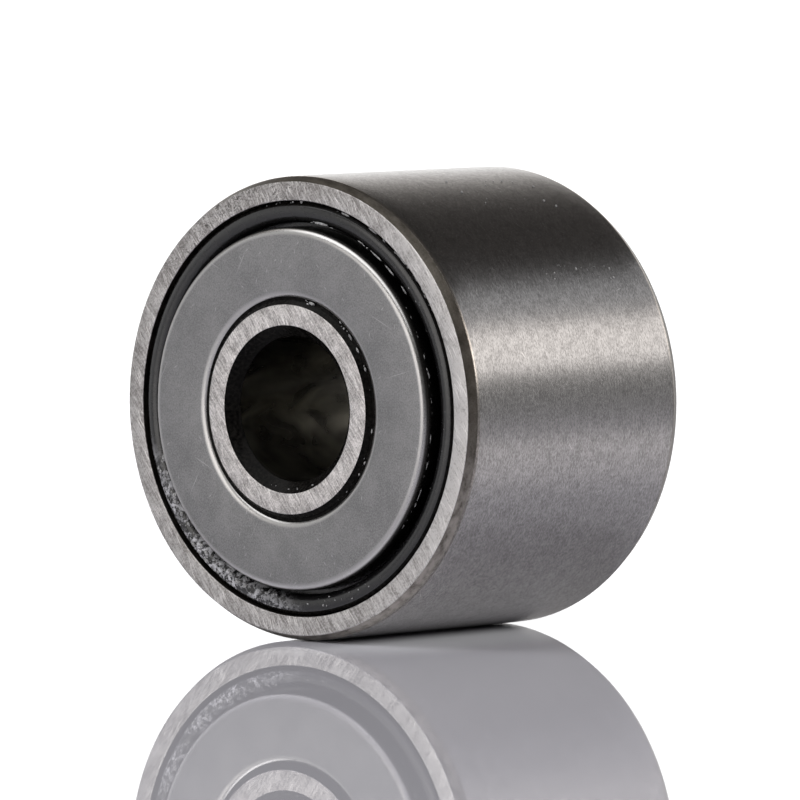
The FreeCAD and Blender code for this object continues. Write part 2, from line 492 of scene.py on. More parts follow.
def ground_face(name, darkest, lightest):
    """darkest and lightest are the patches' colours. Those of the ring that the pin clamps are lighter."""
    material, tree, shader = new_material(name, (0.6, 0.58, 0.57), 0.35, 1.0)
    flat = flat_place(tree)
    first = grain(tree, (0.9, 0.6, 0.05), turn=52, detail=3.0, roughness=0.6, distortion=0.6)
    second = grain(tree, (0.07, 0.07, 0.05), turn=-38, shift=(3, 0, 5), detail=3.0, distortion=0.4)
    patches = grain(tree, (0.6, 1.0, 0.4), turn=50, detail=4.0, roughness=0.65)
    bright = scratches(tree, flat, 0.7, 0.02, 0.3, (-48, -61, -73))
    dark = scratches(tree, flat, 0.6, 0.02, 0.2, (-53, -67, -80))
    side = towards(tree, millimetres(tree), CREASED_WAY)
    folds = grain(tree, (0.22, 0.22, 0.22), distortion=1.2)
    from_fold = calculate(tree, "ABSOLUTE", calculate(tree, "SUBTRACT", folds, 0.5))
    creases = ramp(tree, from_fold, 0.008, 0.03, 1.0, 0.0)
    creases = times(tree, creases, ramp(tree, side, CREASED_FROM, CREASED_TO, smooth=True))
    creases = times(tree, creases, ramp(tree, patches, 0.36, 0.48))
    # Painted light: each face grows a little lighter towards +X.
    lighter = ramp(tree, split(tree, millimetres(tree))["X"], LIGHTER_FROM, LIGHTER_TO)
    lines = weigh(tree, (first, 0.36), (second, 0.3), (patches, 0.34), (lighter, 0.09))
    color = blend_colors(tree, ramp(tree, lines, 0.42, 0.59), darkest, lightest)
    color = blend_colors(tree, times(tree, bright, 0.5), color, (0.88, 0.86, 0.85))
    color = blend_colors(tree, times(tree, dark, 0.5), color, (0.15, 0.14, 0.136))
    color = blend_colors(tree, times(tree, creases, 0.85), color, (0.06, 0.055, 0.05))
    roughness = ramp(tree, lines, 0.3, 0.7, 0.4, 0.3)
    height = weigh(tree, (first, 0.8), (second, 0.5), (patches, 0.6),
                   (bright, 0.3), (dark, -0.4), (creases, -1.0))
    finish_with(tree, shader, color, roughness, height, 0.008)
    return material


# %% [markdown]
# ### Unground scale
#
# The chamfers and the walls of the recesses are never ground. They keep the brown-black skin of the
# hardening furnace, wet with oil. Towards the lower right the colour turns a lighter grey-brown in
# patches: painted light.


# %% Unground scale
LIT_PATCH_WAY = (0.6, 0.0, -0.8)
LIT_PATCH_FROM, LIT_PATCH_TO = 4.5, 7.5


def hardening_scale():
    material, tree, shader = new_material("hardening_scale", (0.17, 0.15, 0.135), 0.42, 1.0)
    patches = grain(tree, (0.5, 0.25, 0.5), detail=4.0, roughness=0.65)
    specks = grain(tree, (0.05, 0.05, 0.05))
    amount = ramp(tree, weigh(tree, (patches, 0.6), (specks, 0.4)), 0.36, 0.68)
    color = blend_colors(tree, amount, (0.088, 0.079, 0.067), (0.18, 0.163, 0.142))
    # Painted light: lighter grey-brown patches towards the lower right.
    side = towards(tree, millimetres(tree), LIT_PATCH_WAY)
    lit_patches = ramp(tree, side, LIT_PATCH_FROM, LIT_PATCH_TO, smooth=True)
    lit_patches = times(tree, lit_patches, ramp(tree, patches, 0.3, 0.6))
    color = blend_colors(tree, lit_patches, color, (0.37, 0.345, 0.315))
    roughness = ramp(tree, patches, 0.3, 0.7, 0.36, 0.5)
    finish_with(tree, shader, color, roughness, weigh(tree, (patches, 1.0), (specks, 0.6)), 0.004)
    return material


# %% [markdown]
# ### Oily bore
#
# The bore keeps a dark skin under a film of preserving oil. Oil runs, so the colour and the gloss vary in
# long soft streaks. Most of the bore only mirrors its own dark inside, and a patch deep down mirrors the
# light at the far end.


# %% Oily bore
def oily_bore():
    material, tree, shader = new_material("oily_bore", (0.08, 0.075, 0.065), 0.28, 1.0)
    runs = grain(tree, (2.6, 1.8, 0.8), turn=25, distortion=0.5)
    color = blend_colors(tree, ramp(tree, runs, 0.3, 0.75), (0.05, 0.047, 0.042), (0.22, 0.21, 0.17))
    roughness = ramp(tree, runs, 0.3, 0.7, 0.22, 0.4)
    finish_with(tree, shader, color, roughness, runs, 0.02)
    return material


# %% [markdown]
# ### Tumbled washer
#
# The side washers are stamped from strip and tumbled with abrasive chips. Tumbling leaves an even satin
# grain with no direction, and thin light scratches at all angles from one washer sliding over the next.
# The rolled edges are lighter: partly the brighter metal that the chips leave there, and partly a painted
# highlight along each crest. From a little below the top of each roll down over the sheared edge, the
# colour turns near black: painted shade where the roll turns away from the light into the gap.


# %% Tumbled washer
RIM_BRIGHT = (0.3, 0.12)
MOUTH_BRIGHT = (0.36, 0.18)
CREST_SHADE_DEPTHS = (0.14, 0.06)


def tumbled_washer():
    material, tree, shader = new_material("tumbled_washer", (0.29, 0.29, 0.295), 0.38, 1.0)
    flat = flat_place(tree)
    satin = grain(tree, (0.045, 0.045, 0.06), turn=20, roughness=0.7)
    soft = grain(tree, (0.9, 0.9, 0.9), detail=4.0, roughness=0.6)
    marks = scratches(tree, flat, 1.3, 0.016, 0.01, (15, 62, 108, 155))
    short = scratches(tree, flat, 0.2, 0.022, 0.012, (40, 85, 130))
    shade = weigh(tree, (satin, 0.7), (soft, 0.3))
    color = blend_colors(tree, ramp(tree, shade, 0.38, 0.62), (0.18, 0.18, 0.184), (0.295, 0.293, 0.295))
    color = blend_colors(tree, calculate(tree, "MAXIMUM", marks, short), color, (0.4, 0.4, 0.4))

    from_axis = node(tree, "ShaderNodeVectorMath", {0: flat}, operation="LENGTH").outputs["Value"]
    # Painted highlight on the rolled rim and mouth, partly the brighter tumbled metal there.
    rim = ramp(tree, from_axis, *(washer_radius - width for width in RIM_BRIGHT), smooth=True)
    mouth = ramp(tree, from_axis, *(race_radius + width for width in MOUTH_BRIGHT), smooth=True)
    burnish_and_highlight = calculate(tree, "MAXIMUM", rim, mouth)
    depth = calculate(tree, "ABSOLUTE", split(tree, millimetres(tree))["Y"])
    # Painted shade: near black from a little below the crest of each roll.
    crest_shade = ramp(tree, depth, *(washer_outer_face - low for low in CREST_SHADE_DEPTHS), 1.0, 0.0, smooth=True)
    color = blend_colors(tree, times(tree, burnish_and_highlight, 0.8), color, (0.6, 0.59, 0.58))
    color = blend_colors(tree, crest_shade, color, (0.05, 0.048, 0.046))
    roughness = calculate(tree, "MULTIPLY_ADD", burnish_and_highlight, -0.09, ramp(tree, shade, 0.3, 0.7, 0.42, 0.34))
    finish_with(tree, shader, color, roughness, weigh(tree, (satin, 1.0), (marks, -0.5)), 0.003)
    return material


# %% [markdown]
# ### Greased black plastic
#
# The sliding rings are moulded in black polyamide, which is glossy once grease has wetted it. Grease that
# was wiped on with the washer has gathered on one side, where it lies in small grey lumps. A soft mask
# that looks in that direction from the axis puts it there.


# %% Greased black plastic
GREASE_WAY = (-0.62, 0.0, -0.78)
GREASE_FROM, GREASE_TO = 5.0, 6.5


def greased_plastic():
    coat = {"Coat Weight": 0.3, "Coat Roughness": 0.16}
    material, tree, shader = new_material("greased_plastic", (0.014, 0.014, 0.015), 0.3, **coat)
    lumps = grain(tree, (0.2, 0.2, 0.2), detail=4.0, roughness=0.7, distortion=0.4)
    waves = grain(tree, (0.9, 0.5, 0.9))
    moulding = grain(tree, (0.5, 0.03, 0.5))
    side = towards(tree, millimetres(tree), GREASE_WAY)
    where = ramp(tree, side, GREASE_FROM, GREASE_TO, smooth=True)
    where = times(tree, where, ramp(tree, waves, 0.3, 0.5))
    grease = times(tree, where, ramp(tree, lumps, 0.46, 0.56))
    color = blend_colors(tree, grease, (0.006, 0.006, 0.0065), (0.6, 0.6, 0.63))
    roughness = ramp(tree, weigh(tree, (waves, 0.5), (grease, 0.5)), 0.15, 0.6, 0.22, 0.42)
    height = weigh(tree, (waves, 0.6), (moulding, 0.15), (lumps, 0.35), (grease, 0.9))
    finish_with(tree, shader, color, roughness, height, 0.025)
    return material


# %% [markdown]
# ### Oil and painted shade
#
# A new bearing is dipped in oil before it is packed. It stays in every corner, and as small beads on the
# edges. The finish for the oil in the corners is near black and reflects hardly any light: painted shade
# for the narrow corners and gaps it fills, over the oil that is there. The beads are light grey, partly
# the grease's own colour and partly a painted glint, and each also shows a bright reflection of a lamp.


# %% Oil and painted shade
# Painted shade: a near-black finish that reflects hardly any light, over the oil in corners and gaps.
def oil_and_shade():
    settings = {"IOR": 1.47, "Specular IOR Level": 0.04}
    material, tree, shader = new_material("oil_and_shade", (0.004, 0.004, 0.004), 0.2, **settings)
    film = grain(tree, (0.12, 0.12, 0.12))
    color = blend_colors(tree, ramp(tree, film, 0.3, 0.7), (0.002, 0.002, 0.002), (0.012, 0.011, 0.01))
    finish_with(tree, shader, color, ramp(tree, film, 0.3, 0.7, 0.12, 0.35), film, 0.01)
    return material


# Painted glints: the beads' light grey is partly the grease's own colour.
def grease_and_glint_beads():
    material, tree, shader = new_material("grease_and_glint_beads", (0.3, 0.3, 0.31), 0.15, IOR=1.47)
    lumps = grain(tree, (0.05, 0.05, 0.05))
    color = blend_colors(tree, ramp(tree, lumps, 0.35, 0.65), (0.12, 0.12, 0.125), (0.5, 0.5, 0.5))
    finish_with(tree, shader, color, ramp(tree, lumps, 0.3, 0.7, 0.1, 0.3), lumps, 0.008)
    return material


# %% [markdown]
# ### The hidden finishes
#
# The needles are lapped, which is the finest finish here. The raceways are honed, with lines around the
# axis like the tread's but finer. The cage is moulded in polyamide with glass fibre, and the fibres show
# as short pale flecks.


# %% Hidden finishes
def fine_lines(name, color, gloss, line_size, detail, colors, roughness, depth):
    """Steel with fine lines around the axis. colors and roughness each hold the values for low and high."""
    material, tree, shader = new_material(name, color, gloss, 1.0)
    lines = grain(tree, line_size, detail=detail)
    color = blend_colors(tree, ramp(tree, lines, 0.35, 0.65), *colors)
    finish_with(tree, shader, color, ramp(tree, lines, 0.3, 0.7, *roughness), lines, depth)
    return material


def lapped_needle():
    colors = (0.55, 0.55, 0.56), (0.64, 0.64, 0.65)
    return fine_lines(
        "lapped_needle", (0.6, 0.6, 0.61), 0.12, (2.0, 0.03, 2.0), 2.0, colors, (0.16, 0.1), 0.0003)


def honed_race():
    colors = (0.44, 0.43, 0.42), (0.54, 0.53, 0.52)
    return fine_lines(
        "honed_race", (0.5, 0.49, 0.48), 0.18, (2.5, 0.04, 2.5), 3.0, colors, (0.22, 0.14), 0.0006)


def fibre_plastic():
    material, tree, shader = new_material("fibre_plastic", (0.04, 0.036, 0.032), 0.45)
    fibres = ramp(tree, grain(tree, (0.4, 0.03, 0.04), turn=30, detail=1.0), 0.66, 0.74)
    skin = grain(tree, (0.08, 0.08, 0.08))
    color = blend_colors(tree, fibres, (0.035, 0.032, 0.028), (0.12, 0.115, 0.1))
    finish_with(tree, shader, color, ramp(tree, skin, 0.3, 0.7, 0.4, 0.55), skin, 0.004)
    return material


TREAD = ground_tread()
OUTER_FACE = ground_face("ground_outer_face", (0.23, 0.217, 0.21), (0.56, 0.545, 0.538))
INNER_FACE = ground_face("ground_inner_face", (0.28, 0.266, 0.26), (0.76, 0.73, 0.72))
RACE = honed_race()
SCALE = hardening_scale()
BORE = oily_bore()
WASHER = tumbled_washer()
PLASTIC = greased_plastic()
OIL_AND_SHADE = oil_and_shade()
GLINT_BEADS = grease_and_glint_beads()
NEEDLE = lapped_needle()
CAGE = fibre_plastic()
print("finishes:", [m.name for m in bpy.data.materials if m.use_nodes])

# %% [markdown]
# ## Turning: a section swept about the axis
#
# Every ring in this bearing was made on a lathe or a grinder, so its shape is one section turned about
# the axis. The Geometry Nodes tree does the same. It takes the section's points in order, lays out a grid
# with one row for each point and one column for each step of the turn, and wraps the grid around the
# axis. Merging the doubles closes the seam. Each step of the section carries a number that says which
# machine finished it, and Set Material reads that number, so one ring can have a ground face beside an
# unground chamfer.


# %% A tree with named inputs
def new_tree(name, inputs):
    """A Geometry Nodes tree with a geometry in and out. inputs gives each label its type and first value."""
    tree = bpy.data.node_groups.new(name, "GeometryNodeTree")
    tree.interface.new_socket("Geometry", in_out="INPUT", socket_type="NodeSocketGeometry")
    tree.interface.new_socket("Geometry", in_out="OUTPUT", socket_type="NodeSocketGeometry")
    for label, (kind, value) in inputs.items():
        socket = tree.interface.new_socket(label, in_out="INPUT", socket_type="NodeSocket" + kind)
        if value is not None:
            socket.default_value = value
    return tree, node(tree, "NodeGroupInput").outputs


RING_STEPS = 256
MERGE_DISTANCE = 0.0001 * MM
TURNING_INPUTS = {
    "Steps": ("Int", RING_STEPS),
    "Closing Rows": ("Int", 1),
    "Sharp Angle": ("Float", math.radians(28)),
    "Merge Distance": ("Float", MERGE_DISTANCE),
}


def materials_in(finishes):
    return {label: ("Material", None) for label in finishes}


# %% Wrap a grid around the axis
def finish_numbers(tree):
    return node(tree, "GeometryNodeInputNamedAttribute", {"Name": "finish"}, data_type="INT").outputs[0]


def number_faces(tree, geometry, number):
    """Nodes that give the faces their finish number."""
    return node(tree, "GeometryNodeStoreNamedAttribute", {
        "Geometry": geometry, "Name": "finish", "Value": number}, data_type="INT", domain="FACE").outputs[0]


def turn_section(tree, given):
    """Nodes that turn the section about the axis: a closed mesh with its UV map and finish numbers."""
    section = given["Geometry"]
    points = node(tree, "GeometryNodeAttributeDomainSize", {"Geometry": section}).outputs["Point Count"]
    rows = calculate(tree, "ADD", points, given["Closing Rows"])
    columns = calculate(tree, "ADD", given["Steps"], 1)
    grid = node(tree, "GeometryNodeMeshGrid", {
        "Size X": 1.0, "Size Y": 1.0, "Vertices X": columns, "Vertices Y": rows})
    position = node(tree, "GeometryNodeInputPosition").outputs[0]
    place = split(tree, position)
    around = times(tree, calculate(tree, "ADD", place["X"], 0.5), 2 * math.pi)
    along = times(tree, calculate(tree, "ADD", place["Y"], 0.5), calculate(tree, "SUBTRACT", rows, 1))
    row = calculate(tree, "MODULO", calculate(tree, "ROUND", along), points)

    number = node(tree, "GeometryNodeSampleIndex", {
        0: section, 1: finish_numbers(tree), 2: calculate(tree, "FLOOR", along)},
        data_type="INT", domain="POINT").outputs[0]
    mapped = node(tree, "GeometryNodeStoreNamedAttribute", {
        "Geometry": grid.outputs["Mesh"], "Name": "UVMap", "Value": grid.outputs["UV Map"]},
        data_type="FLOAT2", domain="CORNER").outputs[0]
    numbered = number_faces(tree, mapped, number)

    drawn = node(tree, "GeometryNodeSampleIndex", {0: section, 1: position, 2: row},
                 data_type="FLOAT_VECTOR", domain="POINT").outputs[0]
    point = split(tree, drawn)
    wrapped = around_axis(tree, point["X"], point["Y"], around)
    turned = node(tree, "GeometryNodeSetPosition", {"Geometry": numbered, "Position": wrapped}).outputs[0]
    return node(tree, "GeometryNodeMergeByDistance", {
        "Geometry": turned, "Distance": given["Merge Distance"]}).outputs[0]


# %% Finish a tree
def close_tree(tree, geometry, given, finishes):
    """Shade smooth but for sharp edges, realize, and give each numbered finish its material."""
    angle = node(tree, "GeometryNodeInputMeshEdgeAngle").outputs["Unsigned Angle"]
    soft = node(tree, "FunctionNodeCompare", {0: angle, 1: given["Sharp Angle"]},
                operation="LESS_THAN").outputs[0]
    for domain, smooth in (("FACE", True), ("EDGE", soft)):
        geometry = node(tree, "GeometryNodeSetShadeSmooth", {
            "Geometry": geometry, "Shade Smooth": smooth}, domain=domain).outputs[0]
    geometry = node(tree, "GeometryNodeRealizeInstances", {"Geometry": geometry}).outputs[0]
    numbers = finish_numbers(tree)
    for number, label in enumerate(finishes):
        chosen = node(tree, "FunctionNodeCompare", {2: numbers, 3: number},
                      data_type="INT", operation="EQUAL").outputs[0]
        geometry = node(tree, "GeometryNodeSetMaterial", {
            "Geometry": geometry, "Selection": chosen, "Material": given[label]}).outputs[0]
    node(tree, "NodeGroupOutput", {"Geometry": geometry})
    return tree


def turned_ring_tree(name, finishes):
    tree, given = new_tree(name, {**TURNING_INPUTS, **materials_in(finishes)})
    return close_tree(tree, turn_section(tree, given), given, finishes)


# %% [markdown]
# ## From a tree to a plain piece
#
# A tree lives on a modifier. The export keeps meshes, not modifiers, so each result is read back as a
# plain mesh: the helper hangs the tree on a holder object, sets its inputs, copies the evaluated mesh and
# removes the holder. It then measures the volume. A closed mesh whose faces point outwards has a positive
# one, close to the CAD node's.


# %% Make a piece plain
def made_by(tree, start, name, inputs):
    """The plain mesh that a tree makes from a starting mesh, with these inputs."""
    holder = bpy.data.objects.new("holder", start)
    bpy.context.scene.collection.objects.link(holder)
    modifier = holder.modifiers.new("make", "NODES")
    modifier.node_group = tree
    for socket in tree.interface.items_tree:
        if socket.in_out == "INPUT" and socket.name in inputs:
            modifier[socket.identifier] = inputs[socket.name]
    graph = bpy.context.evaluated_depsgraph_get()
    mesh = bpy.data.meshes.new_from_object(holder.evaluated_get(graph), depsgraph=graph)
    mesh.name = name
    bpy.data.objects.remove(holder)
    return mesh


def measure(mesh):
    """Signed volume in cubic millimetres, and the number of edges that aren't shared by two faces."""
    shape = bmesh.new()
    shape.from_mesh(mesh)
    bmesh.ops.remove_doubles(shape, verts=shape.verts, dist=MERGE_DISTANCE)
    volume = shape.calc_volume(signed=True) / MM**3
    loose = sum(not edge.is_manifold for edge in shape.edges)
    shape.free()
    return volume, loose


def add_extra(mesh, body):
    """A piece that rides on its body. On its own, this is for one that has no CAD node."""
    piece = bpy.data.objects.new(mesh.name, mesh)
    bpy.context.scene.collection.objects.link(piece)
    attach(piece, body)
    volume, loose = measure(mesh)
    print(f"{mesh.name}: {len(mesh.polygons)} faces, {volume:.3f} mm3, {loose} open edges")
    return piece


def fit_piece(mesh, body, node_name):
    """A piece that rides on its body and stands for its CAD node."""
    piece = add_extra(mesh, body)
    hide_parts(node_name)
    cad_volume, _ = measure(frame["nodes"][node_name].data)
    print(f"    CAD {cad_volume:.3f} mm3")


# %% [markdown]
# ## Drawing a section
#
# A section is a short list of corners: radius, place along the axis, the radius of the corner's round,
# and the number of the finish on the line that follows. Real edges are never quite sharp, and it is the
# small round on each one that catches a thin bright line of light. A round takes the better finish of its
# two neighbours, because grinding and tumbling always brighten an edge. A section runs clockwise, from
# the bore out over the back end and home over the front, so that the faces of the turned mesh point
# outwards.


# %% Sections with rounds
ARC_STEP = math.radians(11)


def rounded(before, corner, after, size):
    """Points along the round of this size on a corner, from the line before it to the line after it."""
    back_way, on_way = (before - corner).normalized(), (after - corner).normalized()
    half = back_way.angle(on_way) / 2
    centre = corner + (back_way + on_way).normalized() * size / math.sin(half)
    start = corner + back_way * size / math.tan(half) - centre
    end = corner + on_way * size / math.tan(half) - centre
    turn = start.angle(end)
    steps = max(2, math.ceil(turn / ARC_STEP))

    def point_at(share):
        spoke = start * math.sin((1 - share) * turn) + end * math.sin(share * turn)
        return centre + spoke / math.sin(turn)

    return [point_at(step / steps) for step in range(steps + 1)]


def section_mesh(corners, closed=True):
    """A mesh of points and edges for a section. corners are (radius, y, round, finish) in millimetres."""
    places = [Vector((radius, y, 0)) for radius, y, *_ in corners]
    points, numbers = [], []
    for i, (*_, size, finish) in enumerate(corners):
        if size:
            arc = rounded(places[i - 1], places[i], places[(i + 1) % len(places)], size)
            points += arc
            numbers += [min(finish, corners[i - 1][3])] * (len(arc) - 1) + [finish]
        else:
            points.append(places[i])
            numbers.append(finish)
    last = len(points) if closed else len(points) - 1
    mesh = bpy.data.meshes.new("section")
    mesh.from_pydata([point * MM for point in points], [(i, (i + 1) % len(points)) for i in range(last)], [])
    mesh.attributes.new("finish", "INT", "POINT").data.foreach_set("value", numbers)
    return mesh


def front_of(corners, closing):
    """The corners on the front end, in reverse. closing is the finish on the line that closes the section."""
    finishes = [corner[3] for corner in corners[:-1]]
    finishes = finishes[::-1] + [closing]
    return [(radius, -y, size, finish) for (radius, y, size, _), finish in zip(corners[::-1], finishes)]


# %% [markdown]
# ## Outer ring
#
# The thick ring is turned from one section. Its tread is flat over the middle and eased off by a
# hundredth of a millimetre towards the ends, so that it rolls without digging in. At each end come a
# chamfer, the ground face, and the recess that holds the sliding ring. The hardened chamfer stays brown,
# and the tiny rounds on both sides of it are ground bright; the one towards the tread also carries the
# tread's painted highlight. The tread is drawn a few thousandths small: the CAD mesh is faceted, so its
# box falls that much short of a true circle, and the finer mesh must stay inside it.

# %% Outer ring
OUTER_STEPS = 320
TREAD_FLAT_HALF = 4.2
TREAD_DROP = 0.012
FACET_MARGIN = 0.006
EDGE_BREAK = 0.035
TREAD_EDGE = 0.2
RECESS_ROUND = 0.1
RACE_LEAD_IN = 0.12
tread_line = tread_radius - FACET_MARGIN
ground, face, honed, scale = range(4)
back_half = [
    (outer_race_radius, recess_floor - RACE_LEAD_IN, EDGE_BREAK, scale),
    (outer_race_radius + RACE_LEAD_IN, recess_floor, EDGE_BREAK, scale),
    (recess_radius, recess_floor, RECESS_ROUND, scale),
    (recess_radius, outer_end, EDGE_BREAK, face),
    (tread_line - CHAMFER_RADIAL, outer_end, EDGE_BREAK, scale),
    (tread_line - TREAD_DROP, outer_end - CHAMFER_AXIAL, TREAD_EDGE, ground),
    (tread_line, TREAD_FLAT_HALF, 0, ground),
]
outer_finishes = {"Ground tread": TREAD, "Ground face": OUTER_FACE, "Honed race": RACE, "Scale": SCALE}
outer_tree = turned_ring_tree("Turned outer ring", outer_finishes)
outer_section = section_mesh(back_half + front_of(back_half, honed))
outer_mesh = made_by(outer_tree, outer_section, "outer_ring_ground", {"Steps": OUTER_STEPS, **outer_finishes})
fit_piece(outer_mesh, "outer_race", "outer_ring")

# %% [markdown]
# ## Side washers
#
# A side washer is blanked out of strip, pressed onto the inner ring, and never machined again. Blanking
# rolls the edges on the side that the punch enters, which is the outer side here, and leaves the inner
# edges nearly sharp. The rolls are the parts of a washer that shine. The front washer is the same section
# on the other end.

# %% Side washers
RIM_ROLL = 0.28
BORE_ROLL = 0.36
INNER_EDGE = 0.05
washer_corners = [
    (race_radius, washer_inner_face, INNER_EDGE, 0),
    (race_radius, washer_outer_face, BORE_ROLL, 0),
    (washer_radius, washer_outer_face, RIM_ROLL, 0),
    (washer_radius, washer_inner_face, INNER_EDGE, 0),
]
ENDS = {"back": False, "front": True}


def at_end(corners, is_front):
    return front_of(corners, corners[-1][3]) if is_front else corners


washer_tree = turned_ring_tree("Turned washer", ("Tumbled",))
for end, is_front in ENDS.items():
    section = section_mesh(at_end(washer_corners, is_front))
    mesh = made_by(washer_tree, section, f"washer_tumbled_{end}", {"Steps": RING_STEPS, "Tumbled": WASHER})
    fit_piece(mesh, "inner_race", f"side_washer_{end}")

# %% [markdown]
# ## Cutting places out of a ring
#
# The inner ring has an oil hole, the cage has a pocket for each needle, and each sliding ring has grease
# grooves. All three are the same job: a cutter, repeated evenly around the axis, taken away from a turned
# ring. The tree puts the cutter's instances on as many points as it is told, turns each to its place,
# realizes them and subtracts them with a boolean. The cut walls get a finish number of their own.


# %% A turned ring with cuts
CUTTER_SIDES = 64


def cut_places(tree, ring, cutter, given, cut_number):
    """Nodes that subtract the cutter, repeated Count times about the axis, from the ring."""
    places = node(tree, "GeometryNodePoints", {"Count": given["Count"]}).outputs[0]
    number = node(tree, "GeometryNodeInputIndex").outputs[0]
    turn = calculate(tree, "DIVIDE", times(tree, number, 2 * math.pi), given["Count"])
    copies = node(tree, "GeometryNodeInstanceOnPoints", {
        "Points": places, "Instance": number_faces(tree, cutter, cut_number), "Rotation": xyz(tree, Y=turn),
    }).outputs[0]
    copies = node(tree, "GeometryNodeRealizeInstances", {"Geometry": copies}).outputs[0]
    return node(tree, "GeometryNodeMeshBoolean", {"Mesh 1": ring, "Mesh 2": copies},
                operation="DIFFERENCE", solver="EXACT").outputs[0]


def round_cutter(tree, given):
    """A cylinder with the inputs' radius and length, turned and then moved to its place."""
    sizes = {"Vertices": CUTTER_SIDES, "Radius": given["Cut Radius"], "Depth": given["Cut Length"]}
    rod = node(tree, "GeometryNodeMeshCylinder", sizes).outputs["Mesh"]
    return node(tree, "GeometryNodeTransform", {
        "Geometry": rod, "Translation": given["Cut Place"], "Rotation": given["Cut Turn"]}).outputs[0]


def square_cutter(tree, given):
    """A block with the inputs' size, centred on its place."""
    block = node(tree, "GeometryNodeMeshCube", {"Size": given["Cut Size"]}).outputs["Mesh"]
    return node(tree, "GeometryNodeTransform", {
        "Geometry": block, "Translation": given["Cut Place"]}).outputs[0]


ROUND_CUT = {"Cut Radius": ("Float", 0.0), "Cut Length": ("Float", 0.0), "Cut Turn": ("Vector", None)}
SQUARE_CUT = {"Cut Size": ("Vector", None)}


def cut_ring_tree(name, finishes, shape_inputs, make_cutter):
    """A tree that turns a section and cuts places out of it. The last finish is that of the cut walls."""
    places = {"Count": ("Int", 1), "Cut Place": ("Vector", None)}
    tree, given = new_tree(name, {**TURNING_INPUTS, **places, **shape_inputs, **materials_in(finishes)})
    ring = turn_section(tree, given)
    ring = cut_places(tree, ring, make_cutter(tree, given), given, len(finishes) - 1)
    return close_tree(tree, ring, given, finishes)


# %% [markdown]
# ## Inner ring
#
# The inner ring is ground on its raceway and its two ends, which is where the yoke clamps it. Its bore
# is dark and oily. The wide chamfer at the bore's mouth and the small one beside the washer take the
# near-black oil finish, which is painted shade over the oil there. Half way along, one radial hole lets
# grease in from the pin.

# %% Inner ring
BORE_CHAMFER = 0.4
OUTER_CHAMFER = 0.16
OIL_HOLE_RADIUS = 0.5
FACE_EDGE = 0.03
face, honed, oil_shade, oily = range(4)
# Both chamfers take the near-black oil finish, which is painted shade.
back_half = [
    (bore_radius, inner_end - BORE_CHAMFER, EDGE_BREAK, oil_shade),
    (bore_radius + BORE_CHAMFER, inner_end, FACE_EDGE, face),
    (race_radius - OUTER_CHAMFER, inner_end, FACE_EDGE, oil_shade),
    (race_radius, inner_end - OUTER_CHAMFER, 0, honed),
]
inner_finishes = {"Ground face": INNER_FACE, "Honed race": RACE, "Shaded oily edge": OIL_AND_SHADE, "Oily bore": BORE}
inner_tree = cut_ring_tree("Turned inner ring", inner_finishes, ROUND_CUT, round_cutter)
inner_section = section_mesh(back_half + front_of(back_half, oily))
inner_mesh = made_by(inner_tree, inner_section, "inner_ring_ground", {
    "Steps": RING_STEPS, "Count": 1, "Cut Radius": OIL_HOLE_RADIUS * MM, "Cut Length": race_radius * MM,
    "Cut Place": (0, 0, race_radius * MM), "Cut Turn": (0, 0, 0), **inner_finishes})
fit_piece(inner_mesh, "inner_race", "inner_ring")

# %% [markdown]
# ## Sliding rings
#
# Each sliding ring snaps into a recess of the outer ring. Its flat flange runs against the washer, with
# grooves that carry grease across it, and its round lip fills the gap beside the washer's rim and keeps
# dirt out. Only the lip is seen once the bearing is together. The outermost strip of its crest has the
# near-black oil finish: partly the oil that lies where the lip meets the outer ring, and partly painted
# shade for the dark band along that edge.

# %% Sliding rings
FLANGE_OVER_RACE = 0.14
RUNNING_GAP = 0.05
FLANGE_INNER = outer_race_radius + FLANGE_OVER_RACE
FLANGE_FACE = washer_inner_face - RUNNING_GAP
LIP_INNER = 6.38
LIP_CREST = 0.36
GROOVE_COUNT, GROOVE_WIDTH, GROOVE_DEPTH, GROOVE_END = 8, 0.7, 0.15, 6.15
groove_start = FLANGE_INNER - GROOVE_WIDTH
groove_size = (GROOVE_END - groove_start, 2 * GROOVE_DEPTH, GROOVE_WIDTH)
sliding_corners = [
    (FLANGE_INNER, recess_floor, 0, 0),
    (FLANGE_INNER, FLANGE_FACE, 0, 0),
    (LIP_INNER, FLANGE_FACE, 0, 0),
    (LIP_INNER, lip_top, LIP_CREST, 0),
    (recess_radius, lip_top, LIP_CREST, 0),
    (recess_radius, recess_floor + RECESS_ROUND, 0, 0),
    (recess_radius - RECESS_ROUND, recess_floor, 0, 0),
]
sliding_finishes = ("Plastic", "Shaded oily edge", "Cut plastic")
OIL_SHADE_WIDTH = 0.15


def oil_shade_outside(section):
    """Gives the outermost part of the lip's crest the near-black oil finish: painted shade along the outer
    ring, over the oil there.
    """
    for point, number in zip(section.vertices, section.attributes["finish"].data):
        if point.co.x > (recess_radius - OIL_SHADE_WIDTH) * MM and abs(point.co.y) > (lip_top - LIP_CREST) * MM:
            number.value = sliding_finishes.index("Shaded oily edge")


sliding_tree = cut_ring_tree("Turned sliding ring", sliding_finishes, SQUARE_CUT, square_cutter)
for end, is_front in ENDS.items():
    section = section_mesh(at_end(sliding_corners, is_front))
    # Painted shade on the outer strip of the lip's crest, over oil.
    oil_shade_outside(section)
    side = -1 if is_front else 1
    mesh = made_by(sliding_tree, section, f"sliding_ring_moulded_{end}", {
        "Steps": RING_STEPS, "Count": GROOVE_COUNT, "Cut Size": [size * MM for size in groove_size],
        "Cut Place": ((groove_start + GROOVE_END) / 2 * MM, side * FLANGE_FACE * MM, 0),
        "Plastic": PLASTIC, "Shaded oily edge": OIL_AND_SHADE, "Cut plastic": PLASTIC})
    fit_piece(mesh, "outer_race", f"sliding_ring_{end}")

# %% [markdown]
# ## Cage
#
# The cage keeps the needles apart and parallel. It is one moulded ring with a round pocket for each
# needle, open to the inside and the outside, a few hundredths of a millimetre wider than the needle.

